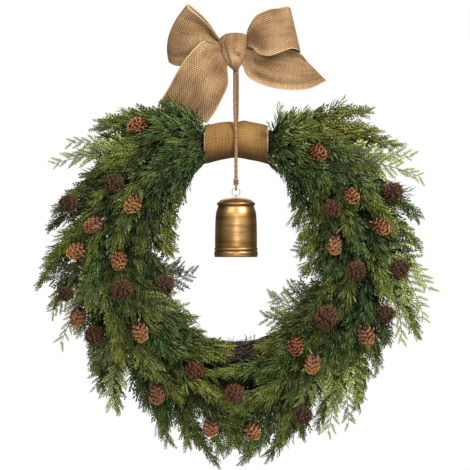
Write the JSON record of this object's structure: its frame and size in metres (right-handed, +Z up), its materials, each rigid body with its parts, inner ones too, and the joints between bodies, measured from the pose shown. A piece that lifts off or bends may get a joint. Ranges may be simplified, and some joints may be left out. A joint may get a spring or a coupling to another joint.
{
  "type": "christmas wreath",
  "caption": "Christmas wreath of cedar bunches, cones and spiny pods on a twisted vine ring, with a burlap bow above, hung by jute twine, and a bell swinging in its middle.",
  "frame": {"origin": "centre of the twine's eye above the bow, where a nail in the wall holds the wreath; the ring's plane is y = 0", "axes": "+Z up, -Y out of the wall towards the viewer, +X to the right as seen from the front"},
  "size_m": [0.6123, 0.1399, 0.6961],
  "materials": {
    "vine": "rough bark",
    "burlap": "coarse plain weave",
    "jute": "twisted, matt",
    "brass": "antiqued, satin",
    "silver": "plated wire",
    "cedar": "matt scale leaves",
    "fern": "matt scale leaves",
    "cone": "dry woody scales",
    "pod": "dry woody spines"
  },
  "bodies": {
    "wreath": {"vine_ring": "vine", "strap": "burlap", "bow_loops": "burlap", "bow_tails": "burlap", "bow_knot": "burlap", "jute_twine": "jute", "cedar_left_1": "cedar", "cedar_left_2": "cedar", "cedar_left_3": "cedar", "cedar_left_4": "cedar", "cedar_left_5": "cedar", "cedar_right_1": "cedar", "cedar_right_2": "cedar", "cedar_right_3": "cedar", "cedar_right_4": "cedar", "cedar_right_5": "cedar", "fern_inner_left": "fern", "fern_inner_right": "fern", "fern_left": "fern", "fern_lower_left": "fern", "fern_lower_right": "fern", "fern_right": "fern", "fern_upper_left": "fern", "fern_upper_right": "fern", "cone_01": "cone", "cone_02": "cone", "cone_03": "cone", "cone_04": "cone", "cone_05": "cone", "cone_06": "cone", "cone_07": "cone", "cone_08": "cone", "cone_09": "cone", "cone_10": "cone", "cone_11": "cone", "cone_12": "cone", "cone_13": "cone", "cone_14": "cone", "cone_15": "cone", "cone_16": "cone", "cone_17": "cone", "pod_01": "pod", "pod_02": "pod", "pod_03": "pod", "pod_04": "pod", "pod_05": "pod", "pod_06": "pod", "pod_07": "pod", "pod_08": "pod", "pod_09": "pod", "pod_10": "pod", "pod_11": "pod", "pod_12": "pod", "pod_13": "pod", "pod_14": "pod", "pod_15": "pod"},
    "ring": {"split_ring": "silver"},
    "bell": {"bell": "brass", "bell_staple": "brass"},
    "tongue": {"clapper": "brass"}
  },
  "joints": [
    {"name": "ring_swing", "type": "hinge", "parent": "wreath", "child": "ring", "pos_m": [0, -0.029, -0.2077], "axis": [1, 0, 0], "range_deg": [-35, 35]},
    {"name": "bell_swing", "type": "hinge", "parent": "ring", "child": "bell", "pos_m": [0, -0.029, -0.218], "axis": [0, 1, 0], "range_deg": [-20, 20]},
    {"name": "clapper_swing", "type": "hinge", "parent": "bell", "child": "tongue", "pos_m": [0, -0.029, -0.2268], "axis": [0, 1, 0], "range_deg": [-15, 15]}
  ]
}
